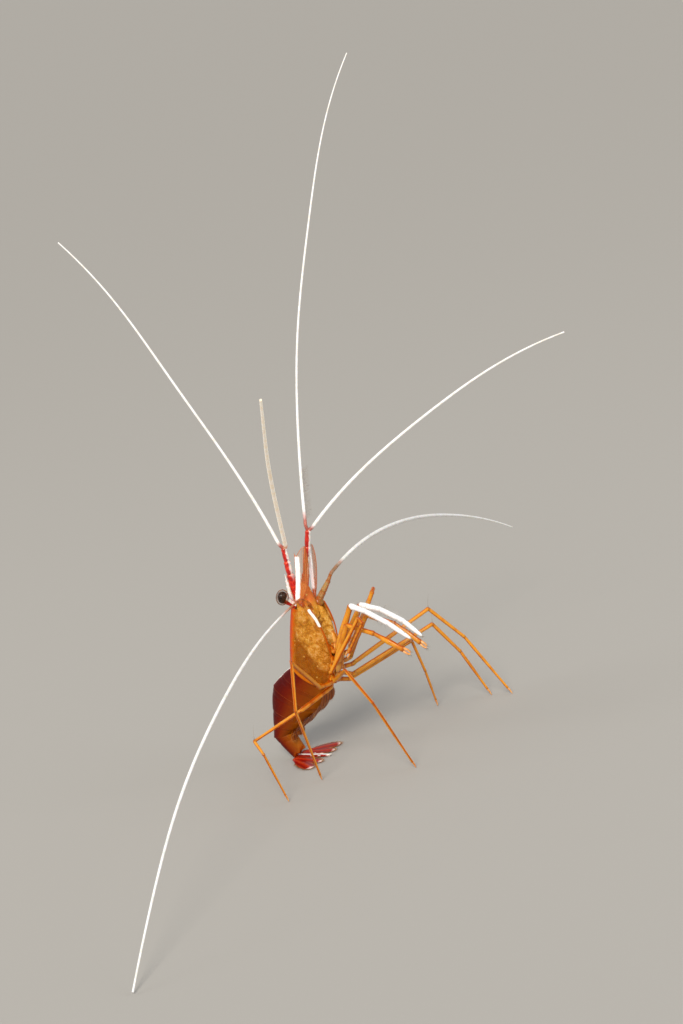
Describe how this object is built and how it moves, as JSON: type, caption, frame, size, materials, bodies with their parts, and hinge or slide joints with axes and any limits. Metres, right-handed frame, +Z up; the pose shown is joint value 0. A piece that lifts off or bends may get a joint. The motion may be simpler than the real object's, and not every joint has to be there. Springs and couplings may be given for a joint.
{
  "type": "cleaner shrimp",
  "caption": "Still life-size cleaner shrimp, head raised, with long swept feelers, banded shell, pincer arms, slender legs standing on the floor and tail fan laid flat.",
  "frame": {"origin": "floor level, under the middle of the bounding box", "axes": "+X the way the belly and pincer arms face, +Y the animal's left, +Z up; the floor is z = 0"},
  "size_m": [0.0848, 0.1812, 0.1341],
  "materials": {
    "shell_amber": "glossy, slightly translucent shell",
    "shell_red": "glossy shell",
    "shell_dark_red": "glossy, slightly translucent shell",
    "limb_white": "satin shell",
    "leg_amber": "glossy, slightly translucent shell",
    "fin_amber": "thin translucent blade",
    "feeler_white": "satin, finely ringed",
    "eye": "polished dark cornea"
  },
  "bodies": {
    "root": {"carapace": "shell_amber", "sternum": "shell_amber", "eye_right": "eye", "eye_left": "eye", "antennule_stem_right": "shell_red", "antennule_stem_left": "shell_red", "antennule_outer_right": "feeler_white", "antennule_inner_right": "feeler_white", "antennule_outer_left": "feeler_white", "antennule_inner_left": "feeler_white", "antenna_feeler_left": "feeler_white", "antenna_feeler_right": "feeler_white", "antenna_stem_left": "shell_amber", "antenna_stem_right": "shell_amber", "antennal_scale_right": "shell_amber", "antennal_scale_left": "shell_amber", "maxilliped_right": "limb_white", "maxilliped_left": "limb_white", "leg1_right": "leg_amber", "leg1_left": "leg_amber", "leg2_right": "leg_amber", "leg2_left": "leg_amber", "leg3_right": "leg_amber", "leg3_left": "leg_amber", "leg4_right": "leg_amber", "leg4_left": "leg_amber", "leg5_right": "leg_amber", "leg5_left": "leg_amber", "abdomen_ring_1": "shell_dark_red", "abdomen_ring_2": "shell_dark_red", "abdomen_ring_3": "shell_dark_red", "abdomen_ring_4": "shell_dark_red", "abdomen_ring_5": "shell_dark_red", "abdomen_ring_6": "shell_dark_red", "swimmeret_1_right": "fin_amber", "swimmeret_1_left": "fin_amber", "swimmeret_2_right": "fin_amber", "swimmeret_2_left": "fin_amber", "swimmeret_3_right": "fin_amber", "swimmeret_3_left": "fin_amber", "swimmeret_4_right": "fin_amber", "swimmeret_4_left": "fin_amber", "swimmeret_5_right": "fin_amber", "swimmeret_5_left": "fin_amber", "telson": "shell_red", "tail_blade_inner_right": "shell_dark_red", "tail_blade_inner_left": "shell_dark_red", "tail_blade_outer_right": "shell_dark_red", "tail_blade_outer_left": "shell_dark_red"}
  },
  "joints": []
}
